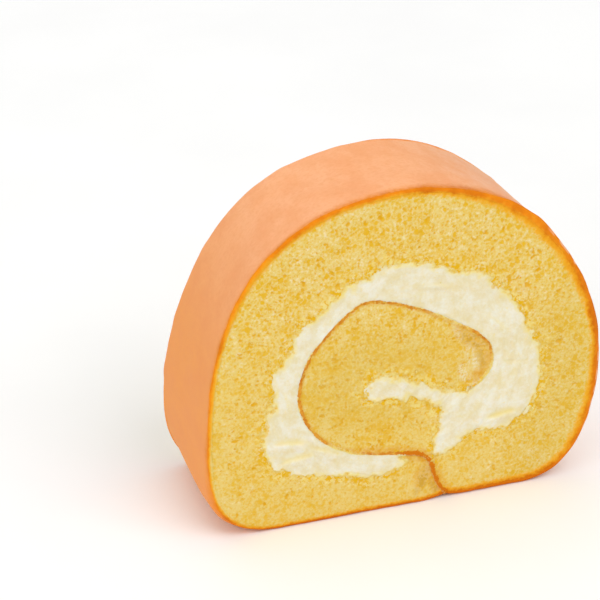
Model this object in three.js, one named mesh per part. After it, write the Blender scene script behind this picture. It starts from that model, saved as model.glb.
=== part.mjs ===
// A slice of cream roll cake: one sheet of sponge, rolled round whipped cream and cut through on both sides.
// Millimetres, +Z up. The slice stands on its flat base with its front cut facing -Y, and the origin is
// the middle of the base. Looking at the front cut, the free end of the sheet lies under the cake as a
// flap. From there the sheet runs left, over the crown and down the right side, turns in beside the flap
// at the seam, and curls back over the flap to its rolled-in end, the nose.

import * as THREE from 'three';
import { ImprovedNoise } from 'three/addons/math/ImprovedNoise.js';
import { mergeVertices } from 'three/addons/utils/BufferGeometryUtils.js';

// Driving dimensions of the slice
const SLICE_WIDTH = 84;
const SLICE_HEIGHT = 70.6;
const SLICE_DEPTH = 31;

// The rear cut is a little smaller than the front one, and leans to the right towards the crown.
const REAR_WIDTH_SHARE = 0.96;
const REAR_HEIGHT_SHARE = 0.965;
const REAR_LEAN = 0.09;

// The layers stay this far apart, at the cream and in the seam under the cake.
const LAYER_GAP = 0.3;

// How far up the inner skin the flap's end is pressed on, and how blunt the cream's thin end there is
const SEAM_LENGTH = 16.5;
const CREAM_END_SETBACK = 1.2;

// Hand-made unevenness: how far the layers wander between the two cuts, in waves of what length, and how
// far above the base that starts
const WANDER = 0.5;
const WANDER_LENGTH = 60;
const SIDEWAYS_PHASE = 1.9;
const UPRIGHT_PHASE = 3.8;
const BASE_ZONE = 9;

// Relief of the cut faces: the crumb is a little rough, and the knife drags the cream into low ridges
// that run along the roll.
const CRUMB_RELIEF = { height: 0.25, length: 5, spacing: 5 };
const CREAM_RELIEF = { height: 0.7, length: 12, spacing: 3.4 };
const RIDGE_PATTERN = 12.5;
const ROLL_CENTRE_HEIGHT = 0.45 * SLICE_HEIGHT;

// Mesh fineness
const SKIN_STEP = 2.1;
const CRUMB_STEP = 1.5;
const SPONGE_FACE_STEP = 3.2;
const CREAM_FACE_STEP = 2;
const EDGE_CLEARANCE = 0.6;
const GRID_JITTER = 0.15;
const DEPTH_ROWS = 5;
const WELD_DISTANCE = 1e-4;
const FAR = 1e4;
const RANDOM_SEED = 41;

// A place in the section: across goes from -1 to 1 over the width, up from 0 to 1 over the height.
function at(across, up) {
  return new THREE.Vector2((across * SLICE_WIDTH) / 2, up * SLICE_HEIGHT);
}

// A path from a start through cubic curves, each given by its two handles and its end
function curvedPath(start, curves) {
  const path = new THREE.Path();
  path.moveTo(start.x, start.y);
  for (const [handleA, handleB, end] of curves) {
    path.bezierCurveTo(handleA.x, handleA.y, handleB.x, handleB.y, end.x, end.y);
  }
  return path;
}

function evenPoints(curve, step) {
  return curve.getSpacedPoints(Math.round(curve.getLength() / step));
}

// The baked skin outside: from the seam leftwards along the base, over the crown and back to the seam
function outerSkin() {
  const path = curvedPath(at(0.197, 0.011), [
    [at(0.16, 0.003), at(0.13, 0), at(0.09, 0)],
    [at(-0.15, 0), at(-0.4, 0), at(-0.63, 0)],
    [at(-0.88, 0), at(-1, 0.065), at(-1, 0.28)],
    [at(-1, 0.7), at(-0.76, 1), at(-0.02, 1)],
    [at(0.56, 1), at(1, 0.7), at(1, 0.37)],
    [at(1, 0.19), at(0.9, 0), at(0.62, 0)],
    [at(0.5, 0), at(0.42, 0), at(0.33, 0)],
    [at(0.27, 0), at(0.24, 0.004), at(0.212, 0.013)],
  ]);
  return evenPoints(path, SKIN_STEP);
}

// The baked skin inside the roll: from the seam up beside the flap, left under the core, over it, and
// round the nose at the right
function innerSkin() {
  const path = curvedPath(at(0.212, 0.013), [
    [at(0.16, 0.05), at(0.14, 0.09), at(0.126, 0.125)],
    [at(0.105, 0.172), at(-0.07, 0.174), at(-0.24, 0.198)],
    [at(-0.4, 0.222), at(-0.548, 0.305), at(-0.552, 0.418)],
    [at(-0.555, 0.517), at(-0.417, 0.61), at(-0.262, 0.674)],
    [at(-0.17, 0.7), at(0.07, 0.64), at(0.286, 0.552)],
    [at(0.464, 0.5), at(0.5, 0.39), at(0.31, 0.34)],
  ]);
  return evenPoints(path, CRUMB_STEP);
}

// The crumb side of the sheet, which the cream lies on: from the nose back along the core, round the
// small pocket of cream in it, down to the fold, and then round the whole roll to the flap's end
function crumbSide(flapCorner) {
  const path = new THREE.Path();
  path.moveTo(at(0.31, 0.34).x, at(0.31, 0.34).y);
  path.splineThru([
    at(0.2, 0.354), at(0.1, 0.388), at(-0.02, 0.418), at(-0.13, 0.436),
    at(-0.205, 0.42), at(-0.19, 0.368), at(-0.09, 0.358), at(0.03, 0.353), at(0.125, 0.33),
    at(0.18, 0.28), at(0.155, 0.22), at(0.137, 0.176), at(0.158, 0.146), at(0.225, 0.16),
    at(0.31, 0.2), at(0.42, 0.205), at(0.53, 0.208), at(0.62, 0.238), at(0.675, 0.3),
    at(0.685, 0.385), at(0.655, 0.47), at(0.6, 0.53), at(0.555, 0.6), at(0.46, 0.652),
    at(0.375, 0.712), at(0.235, 0.73), at(0.13, 0.762), at(0, 0.779), at(-0.14, 0.777),
    at(-0.27, 0.74), at(-0.38, 0.7), at(-0.47, 0.655), at(-0.56, 0.615), at(-0.6, 0.545),
    at(-0.68, 0.488), at(-0.668, 0.42), at(-0.71, 0.355), at(-0.725, 0.27), at(-0.665, 0.205),
    at(-0.56, 0.166), at(-0.42, 0.148), at(-0.25, 0.125), at(-0.12, 0.119), at(-0.02, 0.138),
    flapCorner,
  ]);
  return evenPoints(path, CRUMB_STEP);
}

// Moves a line of points to its left by a distance. A closed outline that runs counterclockwise shrinks.
function shifted(points, distance, closed) {
  const last = points.length - 1;
  return points.map((point, i) => {
    const before = i > 0 ? points[i - 1] : points[closed ? last : 0];
    const after = i < last ? points[i + 1] : points[closed ? 0 : last];
    const along = after.clone().sub(before).normalize();
    return new THREE.Vector2(point.x - along.y * distance, point.y + along.x * distance);
  });
}

// The two outlines share their lines, so the cream follows the sponge all the way round.
function layerOutlines() {
  const skin = innerSkin();
  const seamPoints = Math.round(SEAM_LENGTH / CRUMB_STEP);
  const flapEnd = shifted(skin, LAYER_GAP, false).slice(0, seamPoints + 1).reverse();
  const crumb = crumbSide(flapEnd[0]);
  const setback = Math.ceil(CREAM_END_SETBACK / CRUMB_STEP);
  const sponge = [
    ...outerSkin().slice(0, -1),
    ...skin.slice(0, -1),
    ...crumb.slice(0, -1),
    ...flapEnd.slice(0, -1),
  ].reverse();
  const channel = [...skin.slice(seamPoints + setback, -1), ...crumb.slice(0, -setback)];
  return { sponge, cream: shifted(channel, LAYER_GAP, true) };
}

// A smooth wave over the section, from -1 to 1
function wave(point, phase) {
  const turn = (2 * Math.PI) / WANDER_LENGTH;
  return Math.sin(turn * point.x + phase) * Math.cos(turn * point.y + 2 * phase);
}

// Where a point of the section lies at a share of the depth, from 0 at the front cut to 1 at the rear
function placed(point, share) {
  const drift = share * WANDER * THREE.MathUtils.smoothstep(point.y, 0, BASE_ZONE);
  const width = THREE.MathUtils.lerp(1, REAR_WIDTH_SHARE, share);
  const height = THREE.MathUtils.lerp(1, REAR_HEIGHT_SHARE, share);
  const lean = share * REAR_LEAN * (point.y - SLICE_HEIGHT / 2);
  return new THREE.Vector3(
    point.x * width + lean + drift * wave(point, SIDEWAYS_PHASE),
    (share - 0.5) * SLICE_DEPTH,
    point.y * height + drift * wave(point, UPRIGHT_PHASE),
  );
}

const noise = new ImprovedNoise();

// How far a layer stands out of its cut at a point
function cutRelief(point, share, { height, length, spacing }) {
  const radius = Math.hypot(point.x, point.y - ROLL_CENTRE_HEIGHT);
  const along = radius * Math.atan2(point.y - ROLL_CENTRE_HEIGHT, point.x);
  return height * noise.noise(along / length, radius / spacing, RIDGE_PATTERN + share);
}

// A point of a layer, with the relief of the cut face on the two cuts
function cutPoint(point, share, relief) {
  const spot = placed(point, share);
  if (share === 0) spot.y -= cutRelief(point, share, relief);
  if (share === 1) spot.y += cutRelief(point, share, relief);
  return spot;
}

// Whether a point lies inside a closed outline
function isInside(point, outline) {
  let inside = false;
  outline.forEach((a, i) => {
    const b = outline[(i + 1) % outline.length];
    const crosses = a.y > point.y !== b.y > point.y;
    if (crosses && point.x < a.x + ((point.y - a.y) / (b.y - a.y)) * (b.x - a.x)) inside = !inside;
  });
  return inside;
}

// Points in staggered rows inside an outline, each moved a little at random and clear of the edge
function gridInside(outline, step) {
  const box = new THREE.Box2().setFromPoints(outline);
  const clearance = EDGE_CLEARANCE * step;
  const points = [];
  THREE.MathUtils.seededRandom(RANDOM_SEED);
  for (let row = 0, y = box.min.y; y < box.max.y; row += 1, y += step * Math.sin(Math.PI / 3)) {
    for (let x = box.min.x + (row % 2) * 0.5 * step; x < box.max.x; x += step) {
      const jitterX = (THREE.MathUtils.seededRandom() - 0.5) * GRID_JITTER * step;
      const jitterY = (THREE.MathUtils.seededRandom() - 0.5) * GRID_JITTER * step;
      const point = new THREE.Vector2(x + jitterX, y + jitterY);
      const isClear = outline.every((edge) => edge.distanceTo(point) > clearance);
      if (isClear && isInside(point, outline)) points.push(point);
    }
  }
  return points;
}

// A triangle with the circle through its corners, running counterclockwise
function circledTriangle(a, b, c) {
  const [u, v] = [b.clone().sub(a), c.clone().sub(a)];
  const twiceArea = u.cross(v);
  const corners = twiceArea > 0 ? [a, b, c] : [a, c, b];
  const offset = new THREE.Vector2(
    (v.y * u.lengthSq() - u.y * v.lengthSq()) / (2 * twiceArea),
    (u.x * v.lengthSq() - v.x * u.lengthSq()) / (2 * twiceArea),
  );
  return { corners, centre: offset.clone().add(a), radiusSquared: offset.lengthSq() };
}

// The Delaunay triangles of an outline and the points inside it: each point in turn replaces the
// triangles whose circles it lies in by triangles from itself to their common edge.
function delaunay(outline, inner) {
  const frame = [[-1, -1], [1, -1], [0, 1]].map(([x, y]) => new THREE.Vector2(x, y).multiplyScalar(FAR));
  let triangles = [circledTriangle(...frame)];
  for (const point of [...outline, ...inner]) {
    const edges = [];
    triangles = triangles.filter(({ corners: [a, b, c], centre, radiusSquared }) => {
      const isHit = centre.distanceToSquared(point) < radiusSquared;
      if (isHit) edges.push([a, b], [b, c], [c, a]);
      return !isHit;
    });
    const isShared = ([a, b]) => edges.some(([c, d]) => c === b && d === a);
    for (const [a, b] of edges.filter((edge) => !isShared(edge))) {
      triangles.push(circledTriangle(a, b, point));
    }
  }
  return triangles
    .map(({ corners }) => corners)
    .filter((corners) => !corners.some((corner) => frame.includes(corner)))
    .filter(([a, b, c]) => isInside(a.clone().add(b).add(c).divideScalar(3), outline));
}

// A closed layer of the slice: the outline carried through the depth, with a cut face at each end
function layer(outline, relief, faceStep) {
  const corners = [];
  const sections = [];
  for (let row = 0; row <= DEPTH_ROWS; row += 1) {
    const share = row / DEPTH_ROWS;
    sections.push(outline.map((point) => cutPoint(point, share, relief)));
  }
  for (let row = 0; row < DEPTH_ROWS; row += 1) {
    for (let i = 0; i < outline.length; i += 1) {
      const next = (i + 1) % outline.length;
      const [a, b] = [sections[row][i], sections[row][next]];
      const [c, d] = [sections[row + 1][next], sections[row + 1][i]];
      if (a.distanceTo(c) < b.distanceTo(d)) {
        corners.push(a, c, b, a, d, c);
      } else {
        corners.push(a, d, b, b, d, c);
      }
    }
  }
  for (const [a, b, c] of delaunay(outline, gridInside(outline, faceStep))) {
    corners.push(...[a, b, c].map((point) => cutPoint(point, 0, relief)));
    corners.push(...[c, b, a].map((point) => cutPoint(point, 1, relief)));
  }
  return mergeVertices(new THREE.BufferGeometry().setFromPoints(corners), WELD_DISTANCE);
}

function finish(color, roughness) {
  return new THREE.MeshStandardMaterial({ color, roughness, metalness: 0 });
}

function node(name, geometry, material) {
  const mesh = new THREE.Mesh(geometry, material);
  mesh.name = name;
  return mesh;
}

const outlines = layerOutlines();
const slice = new THREE.Group();
const sponge = layer(outlines.sponge, CRUMB_RELIEF, SPONGE_FACE_STEP);
const cream = layer(outlines.cream, CREAM_RELIEF, CREAM_FACE_STEP);
slice.add(node('sponge', sponge, finish('#e8c568', 0.9)));
slice.add(node('cream', cream, finish('#f2e6c6', 0.55)));

// The unevenness moves the middle of the slice a little, so the slice is set back on its origin.
const box = new THREE.Box3().setFromObject(slice);
slice.position.set(-(box.min.x + box.max.x) / 2, -(box.min.y + box.max.y) / 2, -box.min.z);
slice.updateMatrixWorld(true);

export default slice;
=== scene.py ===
"""Dresses a slice of cream roll cake: sponge crumb, baked skin, whipped cream and loose crumbs.

Lengths in the section are millimetres, with x across and z up. The meshes are in metres, in the frame of
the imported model: the slice stands on its flat base, with its front cut facing -Y.
"""

import functools
import math
from types import SimpleNamespace

import bmesh
import bpy
import numpy as np
from bpy.props import FloatProperty, FloatVectorProperty, IntProperty, PointerProperty
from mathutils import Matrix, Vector
from mathutils.geometry import delaunay_2d_cdt
from mathutils.kdtree import KDTree


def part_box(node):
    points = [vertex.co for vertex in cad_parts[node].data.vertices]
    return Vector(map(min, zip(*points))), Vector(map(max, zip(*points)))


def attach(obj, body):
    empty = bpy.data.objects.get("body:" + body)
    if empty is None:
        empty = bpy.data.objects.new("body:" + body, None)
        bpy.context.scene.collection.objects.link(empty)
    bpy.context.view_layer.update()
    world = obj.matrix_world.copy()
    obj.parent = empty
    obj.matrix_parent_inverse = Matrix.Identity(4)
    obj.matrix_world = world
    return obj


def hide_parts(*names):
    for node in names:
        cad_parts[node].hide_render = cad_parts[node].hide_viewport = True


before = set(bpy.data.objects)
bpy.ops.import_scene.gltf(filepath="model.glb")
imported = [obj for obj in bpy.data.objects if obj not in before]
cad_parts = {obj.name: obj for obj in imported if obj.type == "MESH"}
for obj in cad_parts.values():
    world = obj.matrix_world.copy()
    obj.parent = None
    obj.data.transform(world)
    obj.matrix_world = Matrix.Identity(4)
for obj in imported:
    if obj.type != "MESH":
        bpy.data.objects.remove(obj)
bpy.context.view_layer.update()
SPONGE_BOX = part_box("sponge")

bl_info = {
    "name": "Cream Roll Slice",
    "version": (1, 0, 0),
    "blender": (4, 5, 0),
    "location": "3D View > Sidebar > Cream Roll",
    "description": "Dresses a slice of cream roll cake with crumb, baked skin and whipped cream",
    "category": "Add Mesh",
}

MM = 0.001

# ---- The section of the roll. Places go from -1 to 1 across the width and from 0 to 1 up the height ----

# The baked skin outside: from the seam leftwards along the base, over the crown and back to the seam
OUTER_SKIN = (
    (0.197, 0.011),
    ((0.16, 0.003), (0.13, 0), (0.09, 0)),
    ((-0.15, 0), (-0.4, 0), (-0.63, 0)),
    ((-0.88, 0), (-1, 0.065), (-1, 0.28)),
    ((-1, 0.7), (-0.76, 1), (-0.02, 1)),
    ((0.56, 1), (1, 0.7), (1, 0.37)),
    ((1, 0.19), (0.9, 0), (0.62, 0)),
    ((0.5, 0), (0.42, 0), (0.33, 0)),
    ((0.27, 0), (0.24, 0.004), (0.212, 0.013)),
)
# The baked skin inside: from the seam up beside the flap, left under the core, over it and round the nose
INNER_SKIN = (
    (0.212, 0.013),
    ((0.16, 0.05), (0.14, 0.09), (0.126, 0.125)),
    ((0.105, 0.172), (-0.07, 0.174), (-0.24, 0.198)),
    ((-0.4, 0.222), (-0.548, 0.305), (-0.552, 0.418)),
    ((-0.555, 0.517), (-0.417, 0.61), (-0.262, 0.674)),
    ((-0.17, 0.7), (0.07, 0.64), (0.286, 0.552)),
    ((0.464, 0.5), (0.5, 0.39), (0.31, 0.34)),
)
# The crumb side of the sheet: from the nose back along the core, round the pocket of cream, down to the
# fold and round the whole roll, almost to the flap's end
CRUMB_SIDE = (
    (0.31, 0.34), (0.2, 0.354), (0.1, 0.388), (-0.02, 0.418), (-0.13, 0.436), (-0.205, 0.42),
    (-0.19, 0.368), (-0.09, 0.358), (0.03, 0.353), (0.125, 0.33), (0.18, 0.28), (0.155, 0.22),
    (0.137, 0.176), (0.158, 0.146), (0.225, 0.16), (0.31, 0.2), (0.42, 0.205), (0.53, 0.208),
    (0.62, 0.238), (0.675, 0.3), (0.685, 0.385), (0.655, 0.47), (0.6, 0.53), (0.555, 0.6),
    (0.46, 0.652), (0.375, 0.712), (0.235, 0.73), (0.13, 0.762), (0, 0.779), (-0.14, 0.777),
    (-0.27, 0.74), (-0.38, 0.7), (-0.47, 0.655), (-0.56, 0.615), (-0.6, 0.545), (-0.68, 0.488),
    (-0.668, 0.42), (-0.71, 0.355), (-0.725, 0.27), (-0.665, 0.205), (-0.56, 0.166), (-0.42, 0.148),
    (-0.25, 0.125), (-0.12, 0.119), (-0.02, 0.138),
)
# In millimetres: the gap between the layers at the seam, how long the seam is, and how far the cream ends
# short of it
LAYER_GAP = 0.3
SEAM_LENGTH = 16.5
CREAM_END_SETBACK = 0.8

# How the section changes from the front cut to the rear one
REAR_WIDTH_SHARE = 0.96
REAR_HEIGHT_SHARE = 0.965
REAR_LEAN = 0.09
WANDER = 0.5
WANDER_LENGTH = 60
SIDEWAYS_PHASE = 1.9
UPRIGHT_PHASE = 3.8
BASE_ZONE = 9

# ---- Marks on the slice. Every length from here on is in millimetres ----

# How much of the rolled-in skin's edge shows at the cut, by the way along it from the base
SKIN_PLACES = (0, 16, 22, 27, 29, 32, 35, 44, 58, 62, 82, 88, 94, 99, 104, 107, 116)
SKIN_SHOWS = (1.0, 1.0, 0.5, 0.3, 0.1, 0.12, 0.9, 1.0, 0.75, 1.0, 0.8, 0.25, 0.2, 0.6, 0.5, 0.1, 0.0)

# By the way along the outer skin from the seam: how far the baked colour reaches into the crumb and how
# far over the skin at the front, and how dark it is. Over the skin at the rear it reaches equally far
# everywhere, and starts further from the rim's colour. BAKE_END is where it has faded on both.
BAKE_PLACES = (0, 30, 44, 54, 62, 72, 86, 100, 124, 136, 148, 160, 172, 186, 200, 226, 240, 259)
BAKE_INTO_CRUMB = (
    1.5, 1.3, 1.3, 0.6, 0.6, 1.1, 1.1, 1.7, 1.7, 1.7, 2.0, 2.5, 3.0, 3.0, 2.1, 2.8, 2.4, 1.8,
)
BAKE_OVER_SKIN = (
    3.0, 3.0, 4.0, 4.0, 3.6, 1.6, 2.5, 2.0, 2.9, 3.5, 3.9, 7.0, 7.0, 6.0, 5.0, 4.0, 3.0, 3.0,
)
BAKE_DARKNESS = (
    1.1, 1.2, 0.7, 0.1, 0.1, 0.1, 0.2, -0.2, 0.6, 0.3, 0.8, 0.3, 0.35, 0.6, 0.95, 0.35, 1.2, 1.2,
)
BAKE_OVER_REAR = 1.0
REAR_BAKE_START = -0.6
BAKE_END = -1.5

# Where the skin at the rim was left pale, along the front cut, and how pale the rear rim is
BARE_PLACES = (170, 177, 184, 192, 200, 208, 222, 232)
BARE_SHARES = (0, 0.9, 0.9, 0.2, 0.1, 1.0, 0.8, 0)
BARE_REAR = 0.6

# How far the crust's edge stands out at the front cut
LIP_PLACES = (140, 150, 157, 162, 169, 178, 188, 204, 214, 226, 236)
LIP_SIZES = (0, 0.05, 0.25, 0.8, 0.75, 0.12, 0.1, 0.35, 0.38, 0.25, 0)

# Where the outer face is drawn in: how far, and the way along it where that starts, is full, fades and ends
DRAWN_IN_CROWN = (0.7, 128, 150, 162, 178)
DRAWN_IN_SIDE = (0.6, 40, 50, 58, 70)
# Where it swells, in the same way
SWOLLEN = (0.85, 34, 43, 50, 62)

# Soft oval patches on the crumb of both cuts: the middle, half the length and width, the slant in degrees
# and the strength. Brown stains of the skin that it was pressed on
STAINS = (
    (15.0, 35.4, 5.6, 2.7, -32, 0.4),
    (17.0, 31.0, 3.6, 1.8, 75, 0.6),
    (15.4, 27.6, 2.6, 1.8, 40, 0.8),
    (3.4, 6.4, 3.4, 2.2, 70, 0.5),
    (5.9, 5.2, 3.6, 1.6, 120, 0.5),
    (9.0, 42.5, 5.0, 0.9, -24, 0.5),
)
# Pale stains of skin and cream together, on the flap and on the nose of the roll
DULL_STAINS = (
    (4.3, 6.8, 6.0, 1.7, 68, 0.8),
    (6.4, 3.0, 2.6, 1.1, 120, 0.6),
    (13.6, 36.0, 5.4, 2.2, -45, 0.7),
    (15.8, 31.4, 3.4, 1.8, 100, 0.5),
)
# Damp crumb: the core, and the crumb right of the cream
MOIST = (
    (-8, 30, 22, 14, 0, 0.22),
    (32, 22, 30, 12, 80, 0.2),
)
# Cream that the knife dragged over the crumb
CREAM_DRAGS = (
    (10.4, 37.6, 3.2, 1.1, 115, 0.6),
    (13.8, 31.6, 4.0, 1.5, 112, 0.95),
    (12.2, 28.4, 4.2, 1.5, 105, 0.95),
    (14.4, 25.6, 2.6, 1.2, 30, 0.6),
    (9.8, 21.5, 2.6, 1.6, 100, 0.5),
    (-31.6, 18.6, 1.6, 1.0, 70, 0.5),
    (-8.8, 26.0, 1.6, 1.4, 60, 0.45),
    (-5.6, 31.2, 2.2, 0.7, -12, 0.45),
    (24.4, 44.6, 1.8, 1.3, -60, 0.45),
)
# Folds that the knife left in the cream: start, end, how high and how wide, and which side falls steeply
CREAM_FOLDS = (
    ((16.6, 16.2), (25.0, 17.4), 0.4, 2.0, 1),
    ((-29.4, 19.3), (-20.4, 18.0), 0.36, 2.0, 1),
    ((-27.6, 14.4), (-19.5, 15.4), 0.34, 2.0, 1),
    ((-21.0, 17.2), (-14.0, 14.0), 0.28, 1.8, 1),
    ((-16.0, 53.6), (-10.0, 50.6), 0.16, 1.2, 1),
    ((2.0, 49.6), (9.5, 48.0), 0.16, 1.4, 1),
    ((16.0, 40.8), (21.5, 35.6), 0.18, 1.4, 1),
    ((19.5, 30.4), (26.5, 29.6), 0.18, 1.6, -1),
    ((-27.0, 32.0), (-25.2, 25.0), 0.16, 1.2, 1),
)

# ---- How uneven the surfaces are ----

# Random patterns are drawn on a grid over the section, each in waves of a height and a size
MAP_PITCH = 0.1
MAP_LOW = np.array((-46.0, -4.0))
MAP_SHAPE = (800, 920)
CUT_SEEDS = (1000, 1100)
FILL_SEED = 31
LOOSE_CRUMB_SEED = 77
RELIEF = ((0.06, 16), (0.025, 5))
GRAIN = ((0.5, 0.66), (0.6, 1.1), (0.45, 1.9), (0.35, 3.4))
RAG = ((0.42, 4.2), (0.2, 1.5))
HOLE_WOBBLE = ((0.22, 0.8),)
SKIN_DENTS = ((0.05, 16), (0.012, 5))
SKIN_DENTS_SEED = 501
ROLLED_RAG = ((1.0, 1.3), (0.7, 3.4))
ROLLED_RAG_SEED = 601
RIPPLE_SIZE = 6.5
RIPPLE_SEED = 503
RIPPLE_HEIGHT = 0.05

# Air holes in the crumb: how many in a square millimetre, smallest and largest radius, depth, and the
# most that one is stretched away from the skin
PORE_KINDS = (
    (0.07, 0.32, 0.58, 0.30, 1.8),
    (0.55, 0.19, 0.34, 0.22, 2.2),
    (2.20, 0.13, 0.21, 0.13, 1.6),
)
# How much of their depth the holes get, and how far the crumb's grain and the knife's marks in the cream
# stand out
PORE_DEPTH_SHARE = 0.85
GRAIN_HEIGHT = 0.024
STREAK_HEIGHT = 0.06
SCRATCH_HEIGHT = 0.025

# How the pieces lie against each other: how far inside the outer line the crumb starts at the seam, how far
# it reaches under each neighbour, and how far it sinks below cream that covers it
CRUMB_AT_SEAM = 0.1
CRUMB_UNDER_SKIN = 0.15
CRUMB_UNDER_ROLLED = 0.12
CRUMB_UNDER_CREAM = 0.95
CRUMB_SUNK_BY_CREAM = 0.35
# How far the cream laps over the rolled-in skin, keeps off the crumb between the cuts, sinks at its edge and
# stands out of the cuts
CREAM_OVER_SKIN = 0.15
CREAM_WALL_GAP = 0.45
CREAM_EDGE_SUNK = 0.75
CREAM_PROUD = 0.12

# The outer skin: the distance of its points, how thick and round it is at its ends, how long it tapers to
# them, how deep the unevenness of its rims reaches, and how it stands out of the cuts
SKIN_STEP = 0.5
SKIN_END = 0.3
EDGE_END_SHARE = 0.35
SKIN_TAPER = 2.5
RIM_ZONE = 2.5
SKIN_PROUD = 0.03
SKIN_GRAIN = 0.035
# Its rows of points: round a rounded edge in degrees, across the rest of the edge in shares, and by their
# distance from a cut at the rims, from the first to the last between them, and inside
EDGE_TURNS = (15, 35, 55, 75, 90)
EDGE_SHARES = (0.35, 0.7, 1.0)
RIM_ROWS = (0.5, 1.0, 1.5)
FACE_START = 2.1
FACE_ROWS = 40
INNER_ROW = 3.0
# The rolled-in skin: the distance of its points, and its rows across the edge in shares
ROLLED_STEP = 0.3
ROLLED_PARTS = (0.0, 0.14, 0.28, 0.42, 0.56, 0.7, 0.85, 1.0)

# The flat map of a piece: where the front and rear cuts start, their scale, the corners of the walls
# between them, the far corners of the two skins, and how many loose crumbs lie side by side
FLAT_LOW = (0.01, 0.01)
FLAT_CUTS = ((FLAT_LOW, 0.0082), ((0.01, 0.62), 0.0050))
FLAT_WALL = ((0.5, 0.62), (0.98, 0.68))
FLAT_OUTER_SKIN = (0.99, 0.24)
FLAT_ROLLED_SKIN = (0.99, 0.2)
FLAT_CRUMBS = 8
# The corner of the section that lies where a cut starts
SECTION_LOW = (-43.0, -1.0)


def smooth(value, low, high):
    """Rises from 0 at low to 1 at high, without a corner."""
    share = np.clip((np.asarray(value, float) - low) / (high - low), 0.0, 1.0)
    return share * share * (3.0 - 2.0 * share)


def hump(value, start, full, fading, end):
    """Rises from 0 at start to 1 at full, and falls again from fading to end."""
    return smooth(value, start, full) * (1 - smooth(value, fading, end))


def hills(seed, size, across=1.0):
    """Random heights over the map, in waves of one size, with a spread of 1."""
    white = np.random.default_rng(seed).standard_normal(MAP_SHAPE)
    up = np.fft.fftfreq(MAP_SHAPE[0], MAP_PITCH)[:, None]
    side = np.fft.rfftfreq(MAP_SHAPE[1], MAP_PITCH)[None, :] * across
    band = np.exp(-(((np.hypot(up, side) * size - 1.0) / 0.5) ** 2))
    field = np.fft.irfft2(np.fft.rfft2(white) * band, MAP_SHAPE)
    return field / field.std()


def layered(seed, waves):
    """Random heights over the map, in waves of several heights and sizes."""
    return sum(height * hills(seed + number, size) for number, (height, size) in enumerate(waves))


def read_map(field, points):
    """The map's value at points, between its dots. The map repeats past its edges."""
    spot = (np.asarray(points, float) - MAP_LOW) / MAP_PITCH
    whole = np.floor(spot)
    right, up = (spot - whole).T
    col, row = whole.astype(int).T

    def dots(higher):
        cells = field[(row + higher) % MAP_SHAPE[0], [col % MAP_SHAPE[1], (col + 1) % MAP_SHAPE[1]]]
        return cells[0] * (1 - right) + cells[1] * right

    return dots(0) * (1 - up) + dots(1) * up


def cubic_line(places):
    """Close points along cubic curves, each given by its two handles and its end."""
    start, parts = np.array(places[0], float), []
    t = np.linspace(0, 1, 200)[:-1, None]
    for handles in places[1:]:
        a, b, end = (np.array(place, float) for place in handles)
        parts.append((1 - t) ** 3 * start + 3 * (1 - t) ** 2 * t * a + 3 * (1 - t) * t * t * b + t**3 * end)
        start = end
    return np.concatenate(parts + [start[None]])


def spline_line(places):
    """Close points along a smooth curve through places."""
    places = np.array(places, float)
    ends = np.concatenate([places[:1], places, places[-1:]])
    t = np.linspace(0, 1, 40)[:-1, None]
    parts = []
    for a, b, c, d in zip(ends, ends[1:], ends[2:], ends[3:]):
        leave, arrive = (c - a) / 2, (d - b) / 2
        cubed = 2 * b - 2 * c + leave + arrive
        squared = 3 * c - 3 * b - 2 * leave - arrive
        parts.append(cubed * t**3 + squared * t**2 + leave * t + b)
    return np.concatenate(parts + [places[-1:]])


def way_along(line):
    """How far along a line each of its points is."""
    return np.concatenate([[0.0], np.cumsum(np.hypot(*np.diff(line, axis=0).T))])


def clear_of_ends(line, low, high):
    """For each point of a line, 0 nearer than low to an end and 1 farther than high from both."""
    way = way_along(line)
    return smooth(np.minimum(way, way[-1] - way), low, high)


def even(line, step):
    """The line again with points a step apart."""
    way = way_along(line)
    marks = np.linspace(0, way[-1], round(way[-1] / step) + 1)
    return np.stack([np.interp(marks, way, line[:, 0]), np.interp(marks, way, line[:, 1])], 1)


def right_of(line, closed=False):
    """The direction to the right of each point of a line, as one walks along it."""
    ahead = np.roll(line, -1, 0) - np.roll(line, 1, 0) if closed else np.gradient(line, axis=0)
    ahead /= np.hypot(*ahead.T)[:, None]
    return np.stack([ahead[:, 1], -ahead[:, 0]], 1)


def moved(line, right):
    """The line moved to its right, by one distance or by one for each point."""
    return line + right_of(line) * np.reshape(right, (-1, 1))


def relaxed(line, rounds, closed=True):
    """A line with its corners eased. An open one keeps its ends."""
    for _ in range(rounds):
        eased = (np.roll(line, 1, 0) + 2 * line + np.roll(line, -1, 0)) / 4
        line = eased if closed else np.concatenate([line[:1], eased[1:-1], line[-1:]])
    return line


def nearest(points, line):
    """For each point, how far the line is and which of its points is nearest."""
    tree = KDTree(len(line))
    for i, (x, z) in enumerate(line):
        tree.insert((x, z, 0.0), i)
    tree.balance()
    found = [tree.find((x, z, 0.0)) for x, z in points]
    return np.array([hit[2] for hit in found]), np.array([hit[1] for hit in found], int)


def beside(points, line, reach, start_reach=0.0):
    """How far points are from an open line: below 0 on its right within reach, and above 0 elsewhere."""
    distance, index = nearest(points, line)
    side = ((points - line[index]) * right_of(line)[index]).sum(1)
    close = (distance < np.where(index < 4, start_reach, reach)) & (index < len(line) - 1)
    return np.where((side > 0) & close, -distance, distance)


def is_inside(points, outline):
    """Whether points lie inside a closed outline."""
    inside = np.zeros(len(points), bool)
    for a, b in zip(outline, np.roll(outline, -1, 0)):
        level = (a[1] > points[:, 1]) != (b[1] > points[:, 1])
        if level.any():
            cut = a[0] + (points[:, 1] - a[1]) / (b[1] - a[1] + 1e-12) * (b[0] - a[0])
            inside ^= level & (points[:, 0] < cut)
    return inside


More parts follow.
